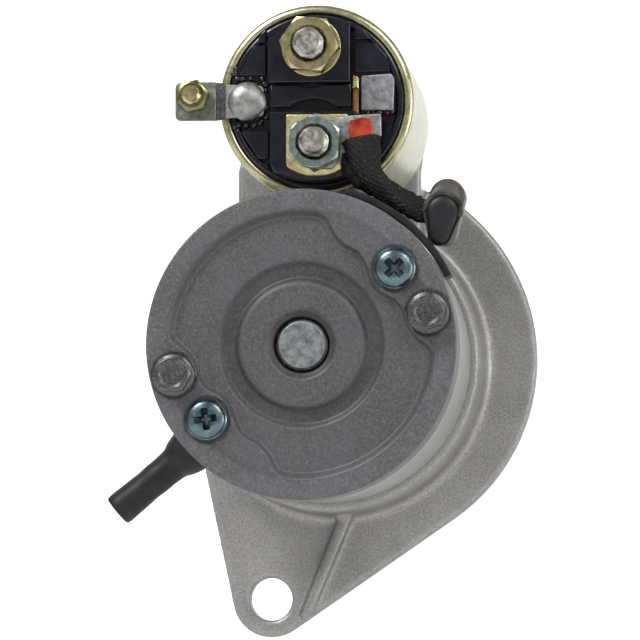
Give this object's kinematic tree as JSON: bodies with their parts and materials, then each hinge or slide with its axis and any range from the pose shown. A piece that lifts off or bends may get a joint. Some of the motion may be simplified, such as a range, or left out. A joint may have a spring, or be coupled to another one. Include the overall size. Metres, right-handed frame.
{
  "type": "starter motor",
  "caption": "Engine starter: drum motor with planetary reduction, solenoid on top, shift lever and sliding pinion in an open nose, on a cast flange with an ear.",
  "frame": {"origin": "where the shaft's axis meets the mounting face of the flange", "axes": "+Y along the shaft towards the pinion and out of the mounting face, +Z from the shaft towards the solenoid, +X to the right when seen from the rear cover"},
  "size_m": [0.1095, 0.1665, 0.1662],
  "materials": {
    "cast_aluminium": "as cast, dull",
    "dark_cast": "dark grey cast cover, fine grain",
    "yoke_paint": "grey paint on steel tube",
    "steel": "machined steel",
    "dark_bolt": "phosphated bolt",
    "blue_zinc": "blue zinc plate",
    "yellow_zinc": "yellow chromate zinc plate",
    "black_moulding": "glossy black moulding",
    "black_rubber": "black rubber and braid",
    "copper": "copper",
    "magnet_stone": "ferrite magnet",
    "carbon": "carbon brush",
    "bronze": "sintered bronze",
    "grey_plastic": "glass-filled plastic"
  },
  "bodies": {
    "housing": {"rear_cover": "dark_cast", "rear_bush": "bronze", "through_bolt_right": "dark_bolt", "through_bolt_left": "dark_bolt", "brush_screw_right": "blue_zinc", "brush_screw_left": "blue_zinc", "brush_plate": "steel", "brush_1": "carbon", "brush_2": "carbon", "brush_3": "carbon", "brush_4": "carbon", "yoke": "yoke_paint", "magnet_1": "magnet_stone", "magnet_2": "magnet_stone", "magnet_3": "magnet_stone", "magnet_4": "magnet_stone", "motor_plate": "steel", "front_bearing": "steel", "ring_gear": "grey_plastic", "centre_bracket": "steel", "centre_bearing": "steel", "nose_bush": "bronze", "front_housing": "cast_aluminium", "lever_pin": "steel", "lever_seal": "black_rubber", "solenoid_case": "yellow_zinc", "solenoid_screw_left": "steel", "solenoid_screw_right": "steel", "solenoid_cap": "black_moulding", "battery_stud": "yellow_zinc", "motor_stud": "steel", "battery_washer": "yellow_zinc", "battery_nut": "yellow_zinc", "motor_washer": "yellow_zinc", "motor_lug": "steel", "motor_nut": "blue_zinc", "switch_terminal": "steel", "switch_screw": "yellow_zinc", "solenoid_coil": "copper", "solenoid_core": "steel", "plunger_spring": "steel", "drain_tube": "black_rubber", "lead_boot": "black_rubber", "motor_lead": "black_rubber"},
    "armature": {"armature_shaft": "steel", "armature_core": "steel", "armature_winding": "copper", "commutator": "copper", "sun_gear": "steel"},
    "carrier": {"output_shaft": "steel", "pinion_stop": "steel"},
    "planet_1": {"planet_gear_1": "steel"},
    "planet_2": {"planet_gear_2": "steel"},
    "planet_3": {"planet_gear_3": "steel"},
    "drive": {"clutch": "steel"},
    "drive_pinion": {"pinion": "steel"},
    "lever": {"shift_lever": "grey_plastic"},
    "solenoid_plunger": {"plunger": "steel"},
    "contact": {"contact_rod": "copper"}
  },
  "joints": [
    {"name": "armature_spin", "type": "hinge", "parent": "housing", "child": "armature", "pos_m": [0, 0, 0], "axis": [0, 1, 0], "continuous": true},
    {"name": "carrier_spin", "type": "hinge", "parent": "housing", "child": "carrier", "pos_m": [0, 0, 0], "axis": [0, 1, 0], "continuous": true},
    {"name": "planet_1_spin", "type": "hinge", "parent": "carrier", "child": "planet_1", "pos_m": [0, -0.03, 0.01682], "axis": [0, 1, 0], "continuous": true},
    {"name": "planet_2_spin", "type": "hinge", "parent": "carrier", "child": "planet_2", "pos_m": [-0.01456, -0.03, -0.00841], "axis": [0, 1, 0], "continuous": true},
    {"name": "planet_3_spin", "type": "hinge", "parent": "carrier", "child": "planet_3", "pos_m": [0.01456, -0.03, -0.00841], "axis": [0, 1, 0], "continuous": true},
    {"name": "drive_slide", "type": "slide", "parent": "carrier", "child": "drive", "axis": [0, 1, 0], "range_m": [0, 0.0109]},
    {"name": "pinion_overrun", "type": "hinge", "parent": "drive", "child": "drive_pinion", "pos_m": [0, 0.014, 0], "axis": [0, 1, 0], "continuous": true},
    {"name": "plunger_slide", "type": "slide", "parent": "housing", "child": "solenoid_plunger", "axis": [0, -1, 0], "range_m": [0, 0.01], "stiffness_N_per_m": 600, "springref_m": -0.008, "deforming": ["plunger_spring"]},
    {"name": "lever_swing", "type": "hinge", "parent": "housing", "child": "lever", "pos_m": [0, -0.013, 0.034], "axis": [1, 0, 0], "range_deg": [0, 18.6]},
    {"name": "contact_slide", "type": "slide", "parent": "housing", "child": "contact", "axis": [0, -1, 0], "range_m": [0, 0.00201]}
  ],
  "couplings": [
    {"joint": "carrier_spin", "follows": "armature_spin", "ratio": 0.21667},
    {"joint": "planet_1_spin", "follows": "armature_spin", "ratio": -0.59902},
    {"joint": "planet_2_spin", "follows": "armature_spin", "ratio": -0.59902},
    {"joint": "planet_3_spin", "follows": "armature_spin", "ratio": -0.59902},
    {"joint": "lever_swing", "follows": "plunger_slide", "rad_per_m": 32.26},
    {"joint": "drive_slide", "follows": "plunger_slide", "ratio": 1.08},
    {"joint": "contact_slide", "follows": "plunger_slide", "ratio": 0.2}
  ]
}
